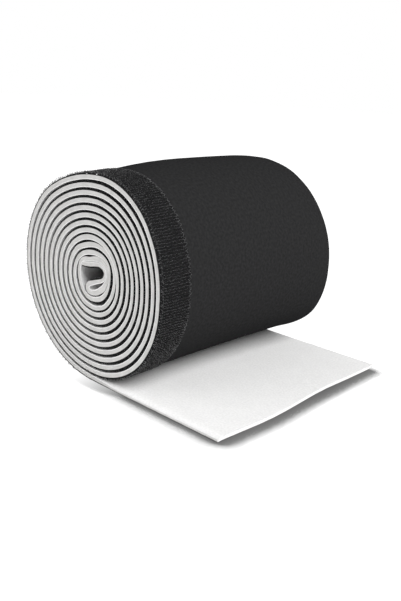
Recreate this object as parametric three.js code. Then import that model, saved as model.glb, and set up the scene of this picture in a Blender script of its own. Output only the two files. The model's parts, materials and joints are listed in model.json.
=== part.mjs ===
// A roll of wide hook and loop cable wrap. One long band of laminated foam is folded over at its
// start, wound on itself with the white lining inwards, and its free end lies flat beside the roll.
// Millimetres, +Z up. The roll's axis lies along Y and the free end points along +X. The origin is
// on the floor, under the middle of the whole object.

import * as THREE from 'three';

// The band, from the lining outwards
const BAND_WIDTH = 138;
const LINING_THICKNESS = 0.4;
const FOAM_THICKNESS = 2.25;
const FACE_THICKNESS = 0.2;
const HOOK_TAPE_THICKNESS = 0.4;
const HOOK_TAPE_WIDTH = 20;

// The winding: air between the turns, and how far the core lies from the middle of the outer turn
const TURNS = 12;
const STEPS_PER_TURN = 20;
const TURN_GAP = 0.75;
const CORE_SHIFT_X = 2.4;
const CORE_SHIFT_Z = 0.5;

// The folded start: the core's middle down to the first turn's lining, half the flat stretch that the
// fold leaves in each turn, and the hairpin loop at the tip of the fold
const CORE_DROP = 5.9;
const CORE_HALF_FLAT = 0.7;
const FOLD_GAP = 0.5;
const FOLD_ANGLE = 234;
const LOOP_GAP = 1;
const LOOP_REACH = 3.3;
const LOOP_STEPS = 10;

// The free end, in stretches that can be lifted one after the other
const TAIL_REACH = 93.5;
const TAIL_STRETCHES = 4;
const STRETCH_GAP = 0.3;

const LINING_BACK = LINING_THICKNESS;
const FOAM_BACK = LINING_BACK + FOAM_THICKNESS;
const FACE_BACK = FOAM_BACK + FACE_THICKNESS;
const BAND_BACK = FACE_BACK + HOOK_TAPE_THICKNESS;
const TURN_PITCH = BAND_BACK + TURN_GAP;
const STEP = (2 * Math.PI) / STEPS_PER_TURN;
const FOOT = -Math.PI / 2;

const liningCloth = new THREE.MeshStandardMaterial({ color: 0xefeeeb, roughness: 1, metalness: 0 });
const foamRubber = new THREE.MeshStandardMaterial({ color: 0xd3d1cc, roughness: 0.95, metalness: 0 });
const faceCloth = new THREE.MeshStandardMaterial({ color: 0x1b1b1d, roughness: 0.85, metalness: 0 });
const hookTape = new THREE.MeshStandardMaterial({ color: 0x2c2c2e, roughness: 0.75, metalness: 0 });

const layers = [
  { name: 'lining', front: 0, back: LINING_BACK, width: BAND_WIDTH, material: liningCloth },
  { name: 'foam', front: LINING_BACK, back: FOAM_BACK, width: BAND_WIDTH, material: foamRubber },
  { name: 'face', front: FOAM_BACK, back: FACE_BACK, width: BAND_WIDTH, material: faceCloth },
  { name: 'hook_tape', front: FACE_BACK, back: BAND_BACK, width: HOOK_TAPE_WIDTH, material: hookTape },
];

// How far the lining lies from the roll axis after winding on by an angle from the foot. The core is
// off centre, so the band grows outwards by a little less on that side.
function liningReach(wound) {
  const facing = FOOT + wound;
  const turns = wound / (2 * Math.PI);
  const start = CORE_DROP + CORE_HALF_FLAT * Math.abs(Math.cos(facing));
  const shift = CORE_SHIFT_X * Math.cos(facing) + CORE_SHIFT_Z * Math.sin(facing);
  return start + shift * (1 - turns / TURNS) + TURN_PITCH * turns;
}

// The band as a chain of flat facets. Each one has the direction that its black side faces, and how
// far its lining lies from the roll axis in that direction.
function bandFacets() {
  const facets = [];
  const foldSteps = Math.round(THREE.MathUtils.degToRad(FOLD_ANGLE) / STEP);
  for (let i = foldSteps; i >= 0; i -= 1) {
    const facing = FOOT + i * STEP;
    const gap = FOLD_GAP + (LOOP_GAP - FOLD_GAP) * Math.max(0, -Math.sin(facing));
    facets.push({ facing: facing + Math.PI, reach: gap - liningReach(i * STEP) });
  }
  const loopRadius = LOOP_GAP / 2;
  const loopX = loopRadius + BAND_BACK - LOOP_REACH;
  const loopZ = loopRadius - liningReach(0);
  for (let i = 1; i < LOOP_STEPS; i += 1) {
    const facing = Math.PI / 2 + (Math.PI * i) / LOOP_STEPS;
    const reach = loopX * Math.cos(facing) + loopZ * Math.sin(facing) + loopRadius;
    facets.push({ facing, reach });
  }
  for (let i = 0; i <= Math.round(TURNS) * STEPS_PER_TURN; i += 1) {
    facets.push({ facing: FOOT + i * STEP, reach: liningReach(i * STEP) });
  }
  return facets;
}

const facets = bandFacets();
const tailReach = facets.at(-1).reach;

// Where two neighbouring facets meet, at a depth into the band
function corner(one, next, depth) {
  const a = one.reach + depth;
  const b = next.reach + depth;
  const spread = Math.sin(next.facing - one.facing);
  const x = (a * Math.sin(next.facing) - b * Math.sin(one.facing)) / spread;
  const z = (b * Math.cos(one.facing) - a * Math.cos(next.facing)) / spread;
  return new THREE.Vector2(x, z);
}

// The wound stretch of the band at one depth, from its raw end in the core to the first lift line
function woundPath(depth, end) {
  const path = [];
  for (let i = 1; i < facets.length; i += 1) {
    path.push(corner(facets[i - 1], facets[i], depth));
  }
  path.push(new THREE.Vector2(end, -tailReach - depth));
  return path;
}

// A strip of one layer: its outline seen along the roll axis, drawn out from the hook edge
function strip(outline, width) {
  const geometry = new THREE.ExtrudeGeometry(new THREE.Shape(outline), {
    depth: width,
    bevelEnabled: false,
  });
  geometry.rotateX(Math.PI / 2);
  geometry.translate(0, width - BAND_WIDTH / 2, 0);
  return geometry;
}

// The least distance from the corners of one path to another path, for stretches that lie at least
// so many facets apart along the band
function leastGap(path, other, apart) {
  let least = Infinity;
  const nearest = new THREE.Vector3();
  path.forEach((point, i) => {
    const here = new THREE.Vector3(point.x, point.y, 0);
    for (let j = 1; j < other.length; j += 1) {
      if (Math.abs(i - j) < apart) continue;
      const a = new THREE.Vector3(other[j - 1].x, other[j - 1].y, 0);
      const b = new THREE.Vector3(other[j].x, other[j].y, 0);
      new THREE.Line3(a, b).closestPointToPoint(here, true, nearest);
      least = Math.min(least, here.distanceTo(nearest));
    }
  });
  return least;
}

// The lift lines lie where the facets of one more turn would meet, were the free end wound on
const halfStretch = (TAIL_REACH - CORE_HALF_FLAT) / (1 + 2 * TAIL_STRETCHES);
const firstLiftLine = CORE_HALF_FLAT + halfStretch;
const rollEnd = firstLiftLine - STRETCH_GAP / 2;

const roll = new THREE.Group();
for (const { name, front, back, width, material } of layers) {
  const outline = [...woundPath(front, rollEnd), ...woundPath(back, rollEnd).reverse()];
  const wound = new THREE.Mesh(strip(outline, width), material);
  wound.name = `${name}_roll`;
  roll.add(wound);
}

const tail = new THREE.Group();
for (let k = 0; k < TAIL_STRETCHES; k += 1) {
  const liftLine = firstLiftLine + 2 * halfStretch * k;
  const start = liftLine + STRETCH_GAP / 2;
  const last = k === TAIL_STRETCHES - 1;
  const end = last ? TAIL_REACH : liftLine + 2 * halfStretch - STRETCH_GAP / 2;
  for (const { name, front, back, width, material } of layers) {
    const outline = [
      new THREE.Vector2(start, -tailReach - front),
      new THREE.Vector2(end, -tailReach - front),
      new THREE.Vector2(end, -tailReach - back),
      new THREE.Vector2(start, -tailReach - back),
    ];
    const flat = new THREE.Mesh(strip(outline, width), material);
    flat.name = `${name}_tail_${k + 1}`;
    tail.add(flat);
  }
}

const liningSide = woundPath(0, rollEnd);
const tapeSide = woundPath(BAND_BACK, rollEnd);
const quarterTurn = STEPS_PER_TURN / 4;
const gaps = [
  leastGap(liningSide, tapeSide, quarterTurn),
  leastGap(tapeSide, liningSide, quarterTurn),
  leastGap(liningSide, liningSide, quarterTurn),
  leastGap(tapeSide, tapeSide, quarterTurn),
];
console.log(`Least gap of the winding to itself: ${Math.min(...gaps).toFixed(3)} mm`);

const leftmost = Math.min(...tapeSide.map((point) => point.x));
const part = new THREE.Group();
part.add(roll, tail);
part.position.set(-(leftmost + TAIL_REACH) / 2, 0, tailReach + BAND_BACK);

export default part;
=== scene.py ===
# Roll of wide foam cable wrap. One laminated band is folded over at its start and wound twelve times with
# its white lining inwards, and its free end lies flat beside the roll.

import bisect
import json
import math
import random

import bmesh
import bpy
from mathutils import Matrix, Vector, noise

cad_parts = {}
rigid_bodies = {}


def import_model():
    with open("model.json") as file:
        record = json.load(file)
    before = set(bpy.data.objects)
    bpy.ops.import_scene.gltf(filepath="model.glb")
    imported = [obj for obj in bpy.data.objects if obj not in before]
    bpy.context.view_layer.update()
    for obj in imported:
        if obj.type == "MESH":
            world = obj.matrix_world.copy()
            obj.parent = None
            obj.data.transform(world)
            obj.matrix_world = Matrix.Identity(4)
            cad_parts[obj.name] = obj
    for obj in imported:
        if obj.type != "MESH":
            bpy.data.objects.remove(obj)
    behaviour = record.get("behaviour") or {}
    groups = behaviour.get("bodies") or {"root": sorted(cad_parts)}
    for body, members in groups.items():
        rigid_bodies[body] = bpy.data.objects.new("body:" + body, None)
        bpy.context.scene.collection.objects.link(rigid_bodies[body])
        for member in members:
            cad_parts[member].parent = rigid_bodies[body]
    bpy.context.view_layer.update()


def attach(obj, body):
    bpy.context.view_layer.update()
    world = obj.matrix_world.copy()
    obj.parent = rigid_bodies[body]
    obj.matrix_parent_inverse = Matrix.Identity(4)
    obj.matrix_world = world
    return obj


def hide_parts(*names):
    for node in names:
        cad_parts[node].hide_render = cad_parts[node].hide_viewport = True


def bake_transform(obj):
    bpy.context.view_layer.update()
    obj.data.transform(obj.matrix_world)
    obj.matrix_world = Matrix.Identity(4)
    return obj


for default in list(bpy.data.objects):
    bpy.data.objects.remove(default)
scene = bpy.context.scene
scene.view_settings.view_transform = "Standard"
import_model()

# Foam core: a strip of pale closed-cell foam a little over 2 mm thick, slit from a wide sheet with a knife.
# It is the body of the band, folded into a small curl at its start, wound, and left flat at its free end.
mm = 0.001
axis_x, axis_z = -18.35, 57.15
half_width = 69.0
tail_drop = 53.9
tail_reach = 93.5
stretch_ends = [0.7, 21.322, 41.944, 62.567, tail_reach]
# The layers' depths from the lining out, and a hair's breadth to tell them apart by
foam_front, foam_back = 0.4, 2.65
band_back = 3.25
hair = 0.005

# The curl, on the lining side: x and z from the roll's axis, and how full the squeezed foam is there
curl = [
    (-7.0, 7.5, 0.85), (-4.0, 8.0, 1.0), (0.0, 8.6, 1.05), (4.0, 9.2, 0.93), (7.0, 9.4, 0.87),
    (9.5, 8.9, 0.8), (11.6, 7.6, 0.73), (12.9, 5.8, 0.68), (13.1, 3.8, 0.68), (12.4, 1.8, 0.74),
    (11.0, 0.2, 0.8), (9.2, -0.9, 0.9), (7.2, -1.7, 0.95), (5.2, -2.4, 1.0), (3.0, -3.2, 1.02),
    (1.0, -4.1, 1.03), (-0.4, -5.0, 1.03), (-0.1, -5.9, 1.0), (1.8, -6.1, 1.02), (4.0, -5.6, 1.1),
    (6.0, -4.7, 1.14), (8.0, -3.4, 1.14), (10.0, -1.8, 1.04), (11.6, 0.0, 0.84), (12.8, 1.8, 0.74),
    (13.3, 3.9, 0.7), (13.0, 6.0, 0.7), (11.8, 7.9, 0.74), (9.6, 9.2, 0.82), (7.0, 9.7, 0.88),
    (4.0, 9.5, 0.92), (0.0, 8.9, 0.97), (-4.0, 8.3, 0.95), (-6.5, 7.1, 0.88), (-7.4, 5.0, 0.95),
    (-7.8, 2.5, 1.0), (-7.7, 0.0, 1.0), (-7.1, -2.5, 1.0), (-6.0, -5.2, 1.0), (-4.3, -7.4, 1.0),
    (-1.8, -9.1, 1.03), (1.2, -9.7, 1.06), (4.2, -9.4, 1.1), (7.5, -8.4, 1.15), (10.7, -6.3, 1.11),
    (13.1, -3.5, 0.88), (14.5, -0.5, 0.69), (15.25, 3.5, 0.6), (14.9, 7.2, 0.64), (13.2, 10.1, 0.75),
    (10.2, 11.9, 0.9), (6.5, 12.65, 1.03), (2.5, 12.65, 1.1), (-2.0, 11.9, 1.1), (-6.0, 10.3, 1.07),
    (-9.2, 7.5, 1.02), (-11.1, 3.5, 1.03), (-11.6, -0.6, 1.04), (-10.8, -4.6, 1.04), (-8.6, -8.7, 1.04),
    (-4.9, -12.0, 1.04), (0.0, -13.7, 1.04), (5.6, -13.9, 1.03), (11.7, -11.6, 1.0), (16.3, -6.4, 0.97),
    (18.6, 0.0, 0.92), (18.4, 7.0, 0.9), (14.8, 13.2, 0.92), (7.8, 16.5, 1.04), (0.6, 16.4, 1.18),
]
# How far the turns lie out of round, at sixteen places from the foot up the right side: the wound turns
# inside, and the last turn, which is looser
pressed = [0.1, 0.7, 0.7, -0.05, -0.95, -0.35, 0.5, 0.25, -0.65, -0.75, 0.3, 1.2, 0.6, 0.2, 0.25, 0.25]
loose = [0.18, 1.4, 1.55, 0.25, -0.9, 0.25, 2.25, 2.45, 0.0, -1.0, 0.75, 1.0, 0.75, 0.1, -0.3, -0.4]


def eased(low, high, value):
    part = min(1.0, max(0.0, (value - low) / (high - low)))
    return part * part * (3 - 2 * part)


def through(before, one, two, after, part):
    rise = two - before
    bend = before * 2 - one * 5 + two * 4 - after
    turn = (one - two) * 3 + after - before
    return one + (rise + (bend + turn * part) * part) * (part * 0.5)


def out_of_round(places, turn):
    place = turn % 1 * 16
    k = int(place)
    return through(places[k - 1], places[k % 16], places[(k + 1) % 16], places[(k + 2) % 16], place - k)


# How the turns grow: the first one's reach and the pitch, then how far they lie to the right and up, and how
# wide and slanting an oval they are, each at the core and by how much it changes out to the last turn
core_reach, turn_pitch = 6.475, 3.956
right_shift, top_shift = (2.921, -3.55), (0.884, -1.285)
wide_oval, slanting_oval = (0.315, 0.317), (0.072, -0.143)
turns, steps_per_turn, steps_in_curl = 12, 24, 62
fine_steps = 24


def at_growth(start_and_change, grown):
    return start_and_change[0] + start_and_change[1] * grown


# The line that the lining follows: the curl, the turns, and the straight free end
bends = [Vector(point) for point in curl]
for step in range(steps_in_curl, turns * steps_per_turn + 1):
    turn = step / steps_per_turn
    grown = turn / turns
    way = math.tau * turn - math.pi / 2
    last = grown ** 5
    right, top = math.cos(way), math.sin(way)
    reach = core_reach + turn_pitch * turn
    reach += at_growth(right_shift, grown) * right + at_growth(top_shift, grown) * top
    oval, slant = at_growth(wide_oval, grown), at_growth(slanting_oval, grown)
    reach += oval * math.cos(2 * way) + slant * math.sin(2 * way)
    reach += grown * (1 - last) * out_of_round(pressed, turn) + last * out_of_round(loose, turn)
    fullness = 1 - (0.17 if right > 0 else 0.02) * right + (0.01 if top > 0 else -0.06) * top
    fullness += 0.2 * max(0.0, top) * (1 - eased(3.2, 4.2, turn))
    bends.append(Vector((reach * right, reach * top, fullness * (1 - last) + last)))
bends += [Vector((x, -tail_drop, 1.0)) for x in (7, 14, 21, 28)]
fine = []
for k in range(1, len(bends) - 2):
    around = bends[k - 1:k + 3]
    fine += [through(*around, part / fine_steps) for part in range(fine_steps)]
fine.insert(0, bends[0])
line = [fine[0]]
walked = 0.0
for one, two in zip(fine, fine[1:]):
    if two.x > stretch_ends[0] - 0.3 and len(line) > 500 and abs(two.y + tail_drop) < 0.3:
        break
    walked += (two.xy - one.xy).length
    if walked > max(0.25, min(3.0, 0.06 * two.xy.length - 0.5)):
        line.append(two)
        walked = 0.0
for start, end, pieces in zip(stretch_ends, stretch_ends[1:], (9, 9, 9, 12)):
    line += [Vector((start + (end - start) * k / pieces, -tail_drop, 1.0)) for k in range(pieces)]
line += [Vector((tail_reach - inset, -tail_drop, 1.0)) for inset in (1.6, 0.8, 0.3, 0.0)]
away, along = [], [0.0]
for k, here in enumerate(line):
    run = (line[min(k + 1, len(line) - 1)] - line[max(k - 1, 0)]).xy.normalized()
    away.append(Vector((run.y, -run.x)))
    along.append(along[-1] + (line[min(k + 1, len(line) - 1)] - here).xy.length)
ends = [0] + [min(range(400, len(line)), key=lambda k: abs(line[k].y + tail_drop) * 9 + abs(line[k].x - x))
              for x in stretch_ends]


# The roll is slack in the middle of its length and drawn in at its far edge: how much fuller it is at
# thirteen places from the near edge to the far one, and one beyond it. Past the hook tape it also leans,
# first to the left and then to the right.
fuller = [0, 0.004, 0.013, 0.026, 0.037, 0.044, 0.048, 0.05, 0.052, 0.053, 0.052, 0.03, -0.06, -0.2]
lean_start = -49
lean_right, lean_left = 10.76, 3.95

# The edges: how far in the knife's rounding, the squeezed foam and the ragged cut reach, and where along the
# free end its rim begins to lie unevenly
round_start, round_width, round_drop = 0.06, 0.7, 0.3
soft_edge = 3
ragged_edge = 1.2
free_start = 30


# A point of the band, laid flat at a station along it, so far across and so deep from the lining, brought
# to its place in the roll. The knife has pressed the black side's edge a little round, where the band is
# squeezed the foam swells out over the black, and a hot knife has drawn the lining down over the free end.
def wound(station, across, depth):
    here, out = line[station], away[station]
    tail = eased(2.0, 24.0, here.x) if station > ends[1] - 12 else 0.0
    edge = max(0.0, half_width - abs(across))
    round_in = max(0.0, edge - round_start) / round_width
    place = along[station]
    squeezed = 0.45 * eased(36.0, 41.0, place) + 0.55 * eased(49.0, 53.0, place) - eased(70.0, 76.0, place)
    hidden = 0.0
    black = depth > foam_back - hair
    if tail and foam_front - hair < depth and not black:
        depth += (2.4 + 0.1 * depth - depth) * (1 - eased(0.3, 0.8, tail_reach - here.x))
    if round_in < 1:
        drop = round_drop * (1 - squeezed) * (1 - math.sqrt(1 - (1 - round_in) ** 2))
        depth -= drop * min(1.0, depth / foam_back)
    if squeezed and edge < soft_edge:
        if black:
            hidden = math.copysign(1.3 * squeezed * (1 - edge / soft_edge), -across)
        else:
            depth += 0.5 * squeezed * (depth / foam_back) ** 2 * (1 - eased(0.6, 1.3, edge))
    if tail and edge < soft_edge:
        crush = 0.5 * tail * (1 - math.sqrt(1 - (1 - edge / soft_edge) ** 2))
        depth = band_back - (band_back - depth) * (1 - crush)
    x = here.x + out.x * depth * here.z
    z = here.y + out.y * depth * here.z + axis_z
    far = (across + half_width) / (2 * half_width)
    k = min(11, int(far * 12))
    swell = through(fuller[k - 1] if k else 0, fuller[k], fuller[k + 1], fuller[k + 2], far * 12 - k)
    lean = max(0.0, (across - lean_start) / (half_width - lean_start))
    x += (x * swell + lean * (lean_right * lean - lean_left)) * eased(3.5, 28.0, z)
    z += z * swell * eased(0.0, 8.0, z)
    y = across + hidden + 0.35 * noise.noise((place / 70, 3.1, 7.7)) * (1 - tail)
    if edge < ragged_edge:
        coarse = noise.noise((place / 2.2, depth * 0.9, across))
        ragged = noise.noise((place / 0.8, depth * 2, across))
        y += 0.12 * coarse + 0.08 * ragged
    if tail:
        free = max(0.0, (here.x - free_start) / (tail_reach - free_start)) ** 2
        x += free * (1.6 + 2.0 * math.exp(-((far - 0.27) / 0.2) ** 2))
        x -= (0.42 * depth + 0.3 * eased(2.6, 3.2, depth)) * eased(tail_reach - 5, tail_reach, here.x)
        z += free * 0.6 * math.exp(-((far - 0.63) / 0.13) ** 2)
    return Vector((x + axis_x, y, z)) * mm


def band_layer(name, first, last, rows, depths, material):
    bm = bmesh.new()
    bmesh.ops.create_grid(bm, x_segments=last - first, y_segments=len(rows) - 1, size=0.5)
    for vert in bm.verts:
        station = first + round((vert.co.x + 0.5) * (last - first))
        vert.co = (station, round((vert.co.y + 0.5) * (len(rows) - 1)), 0)
    sheet = bm.faces[:]
    for k in range(1, len(depths)):
        grown = bmesh.ops.extrude_face_region(bm, geom=sheet)["geom"]
        sheet = [part for part in grown if isinstance(part, bmesh.types.BMFace)]
        for vert in {vert for face in sheet for vert in face.verts}:
            vert.co.z = k
    bmesh.ops.recalc_face_normals(bm, faces=bm.faces[:])
    laid = bm.loops.layers.uv.new("band")
    for face in bm.faces:
        for loop in face.loops:
            station, row, depth = (round(value) for value in loop.vert.co)
            loop[laid].uv = (along[station] * mm, (rows[row] + depths[depth]) * mm)
    for vert in bm.verts:
        station, row, depth = (round(value) for value in vert.co)
        vert.co = wound(station, rows[row], depths[depth])
    bmesh.ops.recalc_face_normals(bm, faces=bm.faces[:])
    mesh = bpy.data.meshes.new(name)
    bm.to_mesh(mesh)
    bm.free()
    for face in mesh.polygons:
        face.use_smooth = True
    mesh.set_sharp_from_angle(angle=math.radians(50))
    mesh.materials.append(material)
    piece = bpy.data.objects.new(name, mesh)
    scene.collection.objects.link(piece)
    return piece


# Bakes the placing of a stretch of the free end into its mesh
def follow_tail(piece):
    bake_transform(piece)


def finish_nodes(name):
    finish = bpy.data.materials.new(name)
    finish.use_nodes = True
    nodes, join = finish.node_tree.nodes, finish.node_tree.links.new
    return finish, nodes, join, nodes["Principled BSDF"]


def speckle(nodes, scale, detail=2):
    speckles = nodes.new("ShaderNodeTexNoise")
    speckles.inputs["Scale"].default_value = scale
    speckles.inputs["Detail"].default_value = detail
    return speckles


def two_shades(nodes, low_at, low, high_at, high):
    shades = nodes.new("ShaderNodeValToRGB")
    dark, pale = shades.color_ramp.elements
    dark.position, dark.color = low_at, (*low, 1)
    pale.position, pale.color = high_at, (*high, 1)
    return shades


def bump(nodes, strength, height):
    relief = nodes.new("ShaderNodeBump")
    relief.inputs["Strength"].default_value = strength
    relief.inputs["Distance"].default_value = height
    return relief


foam_finish, nodes, join, shader = finish_nodes("cut_foam")
shader.inputs["Roughness"].default_value = 0.95
shader.inputs["Specular IOR Level"].default_value = 0.2
place = nodes.new("ShaderNodeTexCoord")
cells = nodes.new("ShaderNodeTexVoronoi")
cells.inputs["Scale"].default_value = 2200
streak_way = nodes.new("ShaderNodeMapping")
streak_way.inputs["Rotation"].default_value = (0, math.radians(32), 0)
streak_way.inputs["Scale"].default_value = (260, 260, 1500)
streaks = speckle(nodes, 1, 3)
mottle = speckle(nodes, 160)
mixed = nodes.new("ShaderNodeMath")
mixed.operation = "MULTIPLY_ADD"
mixed.inputs[1].default_value = 0.6
shades = two_shades(nodes, 0.45, (0.52, 0.516, 0.506), 1.0, (0.635, 0.629, 0.618))
relief = bump(nodes, 0.5, 0.00025)
join(place.outputs["Object"], cells.inputs["Vector"])
join(place.outputs["Object"], mottle.inputs["Vector"])
join(place.outputs["Object"], streak_way.inputs["Vector"])
join(streak_way.outputs["Vector"], streaks.inputs["Vector"])
join(streaks.outputs["Fac"], mixed.inputs[0])
join(mottle.outputs["Fac"], mixed.inputs[2])
join(mixed.outputs["Value"], shades.inputs["Fac"])
join(shades.outputs["Color"], shader.inputs["Base Color"])
join(cells.outputs["Distance"], relief.inputs["Height"])
join(relief.outputs["Normal"], shader.inputs["Normal"])

foam_rows = [-69, -68.94, -68.8, -68.55, -68.2, -67.9, -66.8, -65, -62, -57.5, -49, -40, -30, -20, -10, 0,
             10, 20, 30, 40, 46, 52, 57, 61, 64, 66, 67.5, 68.4, 68.6, 68.85, 69]
foam_depths = [foam_front, 0.9, 1.5, 2.1, foam_back - 0.01]
for k in range(5):
    name = "foam_roll" if k == 0 else f"foam_tail_{k}"
    piece = band_layer("core_" + name, ends[k], ends[k + 1], foam_rows, foam_depths, foam_finish)
    if k == 0:
        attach(piece, "roll")
    else:
        follow_tail(piece)
    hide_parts(name)

# Lining: white brushed loop cloth, flame bonded to the foam. It is inside every turn and on top of the free
# end, with a short soft pile and no seams.
lining_finish, nodes, join, shader = finish_nodes("brushed_loop")
shader.inputs["Roughness"].default_value = 1.0
shader.inputs["Specular IOR Level"].default_value = 0.1
shader.inputs["Sheen Weight"].default_value = 0.15
shader.inputs["Sheen Roughness"].default_value = 0.6
place = nodes.new("ShaderNodeTexCoord")
pile = speckle(nodes, 900, 4)
clumps = speckle(nodes, 120)
both = nodes.new("ShaderNodeMath")
both.operation = "MULTIPLY_ADD"
both.inputs[1].default_value = 0.25
shades = two_shades(nodes, 0.45, (0.77, 0.767, 0.763), 0.85, (0.87, 0.867, 0.863))
relief = bump(nodes, 0.6, 0.0003)
join(place.outputs["Object"], pile.inputs["Vector"])
join(place.outputs["Object"], clumps.inputs["Vector"])
join(clumps.outputs["Fac"], both.inputs[0])
join(pile.outputs["Fac"], both.inputs[2])
join(both.outputs["Value"], shades.inputs["Fac"])
join(shades.outputs["Color"], shader.inputs["Base Color"])
join(both.outputs["Value"], relief.inputs["Height"])
join(relief.outputs["Normal"], shader.inputs["Normal"])


# Lays one cloth of the band in its five stretches: the roll, and the free end from one bend to the next
def lay_cloth(weave, node, rows, depths, finish):
    for k in range(5):
        name = f"{node}_roll" if k == 0 else f"{node}_tail_{k}"
        piece = band_layer(f"{weave}_{name}", ends[k], ends[k + 1], rows, depths, finish)
        if k == 0:
            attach(piece, "roll")
        else:
            follow_tail(piece)
        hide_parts(name)


lining_depths = [0.0, foam_front]
lay_cloth("loop", "lining", foam_rows, lining_depths, lining_finish)

# Face: thin black knit, flame bonded to the other side of the foam. Its cut edge is a little shy of the
# foam's, and it is the black outside of the roll.
face_back = 2.8
face_finish, nodes, join, shader = finish_nodes("black_knit")
shader.inputs["Roughness"].default_value = 0.9
shader.inputs["Specular IOR Level"].default_value = 0.0
place = nodes.new("ShaderNodeTexCoord")
wales = nodes.new("ShaderNodeTexWave")
wales.bands_direction = "X"
wales.inputs["Scale"].default_value = 450
wales.inputs["Distortion"].default_value = 1.5
courses = nodes.new("ShaderNodeTexWave")
courses.bands_direction = "Y"
courses.inputs["Scale"].default_value = 330
courses.inputs["Distortion"].default_value = 1.5
knit = nodes.new("ShaderNodeMath")
knit.operation = "MULTIPLY"
wear = speckle(nodes, 700, 3)
shades = two_shades(nodes, 0.35, (0.018, 0.018, 0.0185), 0.7, (0.026, 0.026, 0.0265))
relief = bump(nodes, 0.35, 0.00012)
join(place.outputs["UV"], wales.inputs["Vector"])
join(place.outputs["UV"], courses.inputs["Vector"])
join(place.outputs["UV"], wear.inputs["Vector"])
join(wales.outputs["Fac"], knit.inputs[0])
join(courses.outputs["Fac"], knit.inputs[1])
join(wear.outputs["Fac"], shades.inputs["Fac"])
join(shades.outputs["Color"], shader.inputs["Base Color"])
join(knit.outputs["Value"], relief.inputs["Height"])
join(relief.outputs["Normal"], shader.inputs["Normal"])
face_rows = [-68.96] + foam_rows[1:-1] + [68.96]
face_depths = [foam_back, face_back]
lay_cloth("knit", "face", face_rows, face_depths, face_finish)

# Hook tape: black woven nylon tape 20 mm wide, sewn along the near edge of the face before the layers are
# bonded. Its hooks are woven in, and stand free on the outer turn.
tape_back = 3.2
tape_finish, nodes, join, shader = finish_nodes("woven_tape")
shader.inputs["Roughness"].default_value = 0.9
shader.inputs["Specular IOR Level"].default_value = 0.05
place = nodes.new("ShaderNodeTexCoord")
weave = speckle(nodes, 900)
shades = two_shades(nodes, 0.4, (0.006, 0.006, 0.0063), 0.65, (0.016, 0.016, 0.0165))
relief = bump(nodes, 0.5, 0.0002)
join(place.outputs["UV"], weave.inputs["Vector"])
join(weave.outputs["Fac"], shades.inputs["Fac"])
join(shades.outputs["Color"], shader.inputs["Base Color"])
join(weave.outputs["Fac"], relief.inputs["Height"])
join(relief.outputs["Normal"], shader.inputs["Normal"])
tape_rows = [-68.98, -68.9, -68.75, -68.5, -68.2, -67.9, -66.8, -65, -62, -58, -54, -50.5, -49]
tape_depths = [face_back, tape_back]
lay_cloth("woven", "hook_tape", tape_rows, tape_depths, tape_finish)

# Hooks: short stiff nylon bristles with bent tips, woven into the tape in rows. They stand free on the outer
# turn, catch in the next turn's lining inside the roll, and are pressed short under the free end.
hook_finish, nodes, join, shader = finish_nodes("nylon_hooks")
shader.inputs["Roughness"].default_value = 0.5
shader.inputs["Specular IOR Level"].default_value = 0.2
place = nodes.new("ShaderNodeTexCoord")
dust = speckle(nodes, 1100)
shades = two_shades(nodes, 0.4, (0.035, 0.035, 0.036), 0.7, (0.28, 0.28, 0.283))
join(place.outputs["Object"], dust.inputs["Vector"])
join(dust.outputs["Fac"], shades.inputs["Fac"])
join(shades.outputs["Color"], shader.inputs["Base Color"])

bm = bmesh.new()
bmesh.ops.create_circle(bm, cap_ends=True, segments=4, radius=0.16)
tip = bm.faces[:]
for lean, rise, width in ((0.02, 0.4, 0.95), (0.14, 0.27, 0.95), (0.2, -0.04, 0.7)):
    grown = bmesh.ops.extrude_face_region(bm, geom=tip)["geom"]
    tip = [part for part in grown if isinstance(part, bmesh.types.BMFace)]
    verts = [part for part in grown if isinstance(part, bmesh.types.BMVert)]
    bmesh.ops.translate(bm, verts=verts, vec=(lean, 0, rise))
    middle = sum((vert.co for vert in verts), Vector()) / 4
    bmesh.ops.scale(bm, verts=verts, vec=(width,) * 3, space=Matrix.Translation(-middle))
bmesh.ops.recalc_face_normals(bm, faces=bm.faces[:])
hook = bpy.data.meshes.new("hook")
bm.to_mesh(hook)
bm.free()


# The place of a small piece on the band: its own x runs along the band and its z away from the lining
def set_on(place, across, depth):
    k = max(0, min(len(line) - 2, bisect.bisect_right(along, place, 0, len(line)) - 1))
    part = (place - along[k]) / (along[k + 1] - along[k])
    one, two = wound(k, across, depth), wound(k + 1, across, depth)
    run = (two - one).normalized()
    out = away[k].lerp(away[k + 1], part)
    out = Vector((out.x, 0, out.y)).normalized()
    side = out.cross(run)
    return Matrix.Translation(one.lerp(two, part)) @ Matrix((run, side, out)).transposed().to_4x4()


def sown(name, shape, spots, finish):
    bm = bmesh.new()
    for spot in spots:
        start = len(bm.verts)
        bm.from_mesh(shape)
        bm.verts.ensure_lookup_table()
        for vert in bm.verts[start:]:
            vert.co = spot @ (vert.co * mm)
    mesh = bpy.data.meshes.new(name)
    bm.to_mesh(mesh)
    bm.free()
    for face in mesh.polygons:
        face.use_smooth = True
    mesh.materials.append(finish)
    piece = bpy.data.objects.new(name, mesh)
    scene.collection.objects.link(piece)
    return piece


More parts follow.
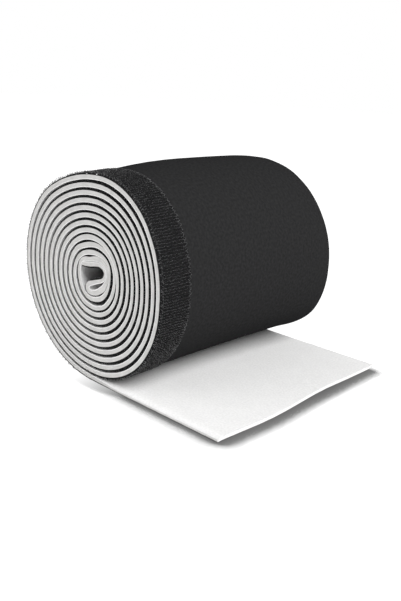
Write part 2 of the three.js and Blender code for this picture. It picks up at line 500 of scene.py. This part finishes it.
chance = random.Random(11)
roll_end = along[ends[1]]
outer_turn = roll_end - 338
foot = roll_end - 13
first_hook, hook_pitch, hooks_in_row, row_pitch = -66.6, 0.78, 22, 1.4
hook_root = tape_back - 0.05
spots = []
place = outer_turn
while place < foot:
    for k in range(hooks_in_row):
        across = first_hook + k * hook_pitch + chance.uniform(-0.12, 0.12)
        spot = set_on(place + chance.uniform(-0.15, 0.15), across, hook_root)
        turn = Matrix.Rotation(chance.choice((0, math.pi)) + chance.uniform(-0.7, 0.7), 4, "Z")
        lean = Matrix.Rotation(chance.uniform(-0.25, 0.25), 4, "X")
        spots.append(spot @ turn @ lean @ Matrix.Diagonal((1, 1, chance.uniform(0.8, 1.3), 1)))
    for across in (-68.7, -68.0):
        if chance.random() < 0.85:
            spot = set_on(place + chance.uniform(-0.5, 0.5), across + chance.uniform(-0.2, 0.2), hook_root)
            turn = Matrix.Rotation(chance.uniform(0, math.tau), 4, "Z")
            spots.append(spot @ turn @ Matrix.Diagonal((1, 1, chance.uniform(1.1, 1.9), 1)))
    place += row_pitch
free_hooks = sown("free_hooks", hook, spots, hook_finish)
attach(free_hooks, "roll")
spots = []
place = 12.0
while place < outer_turn:
    for across in (-68.5, -67.4):
        spot = set_on(place + chance.uniform(-0.4, 0.4), across + chance.uniform(-0.25, 0.25), hook_root)
        turn = Matrix.Rotation(chance.uniform(0, math.tau), 4, "Z")
        spots.append(spot @ turn @ Matrix.Diagonal((1, 1, chance.uniform(0.4, 0.7), 1)))
    place += 1.5
caught_hooks = sown("caught_hooks", hook, spots, hook_finish)
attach(caught_hooks, "roll")
for k in range(1, 5):
    spots = []
    place = along[ends[k]] + 0.7
    while place < along[ends[k + 1]] - 0.5:
        for row in range(15):
            spot = set_on(place, -68.3 + row * 1.27 + chance.uniform(-0.2, 0.2), tape_back - 0.12)
            turn = Matrix.Rotation(chance.uniform(0, math.tau), 4, "Z")
            spots.append(spot @ turn @ Matrix.Diagonal((1, 1, 0.25, 1)))
        place += 1.6
    pressed_hooks = sown(f"pressed_hooks_{k}", hook, spots, hook_finish)
    follow_tail(pressed_hooks)

# Lint: a few white fibres rubbed off the lining as the roll was wound. They are caught in the hooks along
# the near edge, at the top of the roll.
bm = bmesh.new()
bmesh.ops.create_icosphere(bm, subdivisions=1, radius=0.32)
bmesh.ops.scale(bm, verts=bm.verts[:], vec=(1.5, 0.8, 0.7))
fibre = bpy.data.meshes.new("fibre")
bm.to_mesh(fibre)
bm.free()
lint_places = [(164, -68.9), (171.5, -69.0), (180, -69.0), (189, -69.0),
               (193, -68.9), (203, -69.0), (211, -69.0)]
spots = []
for place, across in lint_places:
    spot = set_on(outer_turn + place, across, tape_back - 0.1)
    turn = Matrix.Rotation(chance.uniform(0, math.tau), 4, "Z")
    spots.append(spot @ turn @ Matrix.Scale(chance.uniform(0.6, 1.1), 4))
lint = sown("lint", fibre, spots, lining_finish)
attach(lint, "roll")

# Stitching: charcoal thread that sews the tape to the face, one straight row near the outer edge and a zigzag
# over the inner edge. It went in before the foam was bonded, so none shows on the lining.
thread_finish, nodes, join, shader = finish_nodes("charcoal_thread")
shader.inputs["Roughness"].default_value = 0.55
shader.inputs["Specular IOR Level"].default_value = 0.4
place = nodes.new("ShaderNodeTexCoord")
ply = speckle(nodes, 700)
shades = two_shades(nodes, 0.35, (0.02, 0.02, 0.0205), 0.7, (0.09, 0.09, 0.092))
join(place.outputs["Object"], ply.inputs["Vector"])
join(ply.outputs["Fac"], shades.inputs["Fac"])
join(shades.outputs["Color"], shader.inputs["Base Color"])

bm = bmesh.new()
bmesh.ops.create_circle(bm, cap_ends=True, segments=5, radius=0.17)
bmesh.ops.rotate(bm, verts=bm.verts[:], cent=(0, 0, 0), matrix=Matrix.Rotation(math.pi / 2, 3, "Y"))
bmesh.ops.translate(bm, verts=bm.verts[:], vec=(-0.5, 0, -0.12))
tip = bm.faces[:]
for run, rise in ((0.18, 0.2), (0.32, 0.05), (0.32, -0.05), (0.18, -0.2)):
    grown = bmesh.ops.extrude_face_region(bm, geom=tip)["geom"]
    tip = [part for part in grown if isinstance(part, bmesh.types.BMFace)]
    verts = [part for part in grown if isinstance(part, bmesh.types.BMVert)]
    bmesh.ops.translate(bm, verts=verts, vec=(run, 0, rise))
bmesh.ops.recalc_face_normals(bm, faces=bm.faces[:])
stitch = bpy.data.meshes.new("stitch")
bm.to_mesh(stitch)
bm.free()


straight_row, zigzag_row, stitch_pitch = -67.2, -49.6, 2.3


def rows_of_stitches(start, end):
    spots = []
    place = start
    while place + stitch_pitch < end:
        sunk = 0.28 if place > roll_end - 9 else 0.06
        straight = set_on(place + 1.1, straight_row, tape_back - sunk - 0.04)
        spots.append(straight @ Matrix.Diagonal((1.9, 1, 1, 1)))
        for way in (1, -1):
            spot = set_on(place + (0.6 if way > 0 else 1.75) + chance.uniform(-0.2, 0.2),
                          zigzag_row + chance.uniform(-0.3, 0.3), tape_back - sunk)
            turn = Matrix.Rotation(way * chance.uniform(0.7, 1.3), 4, "Z")
            spots.append(spot @ turn @ Matrix.Diagonal((chance.uniform(1.5, 2.2), 1, 1, 1)))
        place += stitch_pitch
    return spots


roll_stitches = sown("roll_stitches", stitch, rows_of_stitches(6.0, roll_end - 0.2), thread_finish)
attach(roll_stitches, "roll")
for k in range(1, 5):
    spots = rows_of_stitches(along[ends[k]], along[ends[k + 1]])
    tail_stitches = sown(f"tail_stitches_{k}", stitch, spots, thread_finish)
    follow_tail(tail_stitches)

# Floor, light and camera: a plain white table under a broad lamp from the right and a weaker one from the
# front left, with pale light from all round. The camera sees the table as glowing white paper with a painted
# shadow on it: ambient occlusion darkens the glow close round the free end.

# Whether a ray shows the surroundings to the camera, straight or by way of metal or glass
def shown_rays(nodes, join):
    rays = nodes.new("ShaderNodeLightPath")
    seen = nodes.new("ShaderNodeMath")
    seen.operation = "MAXIMUM"
    shown = nodes.new("ShaderNodeMath")
    shown.operation = "MAXIMUM"
    join(rays.outputs["Is Camera Ray"], seen.inputs[0])
    join(rays.outputs["Is Glossy Ray"], seen.inputs[1])
    join(seen.outputs["Value"], shown.inputs[0])
    join(rays.outputs["Is Transmission Ray"], shown.inputs[1])
    return shown.outputs["Value"]


bm = bmesh.new()
bmesh.ops.create_grid(bm, x_segments=1, y_segments=1, size=6)
table_mesh = bpy.data.meshes.new("table_top")
bm.to_mesh(table_mesh)
bm.free()
table = bpy.data.objects.new("table_top", table_mesh)
scene.collection.objects.link(table)
table_finish, nodes, join, shader = finish_nodes("white_table")
shader.inputs["Base Color"].default_value = (0.96, 0.96, 0.96, 1)
shader.inputs["Roughness"].default_value = 1.0
shader.inputs["Specular IOR Level"].default_value = 0.0
# Painted shadow: ambient occlusion through this ramp darkens the paper's glow where the band is close by
close = nodes.new("ShaderNodeAmbientOcclusion")
close.inputs["Distance"].default_value = 0.0095
close.samples = 12
shades = two_shades(nodes, 0.5, (0.05, 0.05, 0.05), 1.0, (1, 1, 1))
for stop, shade in ((0.8, 0.09), (0.95, 0.15), (0.98, 0.22)):
    shades.color_ramp.elements.new(stop).color = (shade, shade, shade, 1)
place = nodes.new("ShaderNodeTexCoord")
across = nodes.new("ShaderNodeSeparateXYZ")
# The painted shadow is kept only right of the roll's foot and short of the tail's far edge
under_tail = nodes.new("ShaderNodeMapRange")
under_tail.inputs["From Min"].default_value = -0.032
under_tail.inputs["From Max"].default_value = 0.012
near_side = nodes.new("ShaderNodeMapRange")
near_side.inputs["From Min"].default_value = 0.071
near_side.inputs["From Max"].default_value = 0.065
painted_shadow_mask = nodes.new("ShaderNodeMath")
painted_shadow_mask.operation = "MULTIPLY"
painted_shadow_colour = nodes.new("ShaderNodeMix")
painted_shadow_colour.data_type = "RGBA"
painted_shadow_colour.inputs["A"].default_value = (1, 1, 1, 1)
paper_and_painted_shadow = nodes.new("ShaderNodeEmission")
paper_and_painted_shadow.inputs["Strength"].default_value = 1.2
share = nodes.new("ShaderNodeMath")
share.operation = "MULTIPLY"
share.inputs[1].default_value = 0.9
either = nodes.new("ShaderNodeMixShader")
join(close.outputs["AO"], shades.inputs["Fac"])
join(place.outputs["Object"], across.inputs["Vector"])
join(across.outputs["X"], under_tail.inputs["Value"])
join(across.outputs["Y"], near_side.inputs["Value"])
join(under_tail.outputs["Result"], painted_shadow_mask.inputs[0])
join(near_side.outputs["Result"], painted_shadow_mask.inputs[1])
join(painted_shadow_mask.outputs["Value"], painted_shadow_colour.inputs["Factor"])
join(shades.outputs["Color"], painted_shadow_colour.inputs["B"])
join(painted_shadow_colour.outputs["Result"], paper_and_painted_shadow.inputs["Color"])
join(shown_rays(nodes, join), share.inputs[0])
join(share.outputs["Value"], either.inputs["Fac"])
join(shader.outputs["BSDF"], either.inputs[1])
join(paper_and_painted_shadow.outputs["Emission"], either.inputs[2])
join(either.outputs["Shader"], nodes["Material Output"].inputs["Surface"])
table.data.materials.append(table_finish)

lamps = [("side_lamp", (0.8, -0.02, 0.78), 3.45, 40), ("front_lamp", (-0.45, -0.8, 0.4), 1.2, 60)]
for name, toward, energy, width in lamps:
    lamp_data = bpy.data.lights.new(name, "SUN")
    lamp_data.angle = math.radians(width)
    lamp_data.energy = energy
    lamp = bpy.data.objects.new(name, lamp_data)
    lamp.rotation_euler = Vector(toward).to_track_quat("Z", "Y").to_euler()
    scene.collection.objects.link(lamp)

world = bpy.data.worlds.new("white_room")
world.use_nodes = True
scene.world = world
nodes, join = world.node_tree.nodes, world.node_tree.links.new
nodes["Background"].inputs["Strength"].default_value = 0.24
backdrop = nodes.new("ShaderNodeBackground")
backdrop.inputs["Strength"].default_value = 1.0
for surround in (nodes["Background"], backdrop):
    surround.inputs["Color"].default_value = (1, 1, 1, 1)
either = nodes.new("ShaderNodeMixShader")
join(shown_rays(nodes, join), either.inputs["Fac"])
join(nodes["Background"].outputs["Background"], either.inputs[1])
join(backdrop.outputs["Background"], either.inputs[2])
join(either.outputs["Shader"], nodes["World Output"].inputs["Surface"])

camera_data = bpy.data.cameras.new("camera")
camera_data.sensor_width = 36
camera_data.lens = 41.73
camera = bpy.data.objects.new("camera", camera_data)
camera.location = (0.26012, -0.28708, 0.15430)
camera.rotation_euler = (math.radians(90 - 16.935), 0, math.radians(42.472))
camera.rotation_euler.rotate_axis("Z", math.radians(3.062))
camera_data.clip_start = 0.01
scene.collection.objects.link(camera)
scene.camera = camera
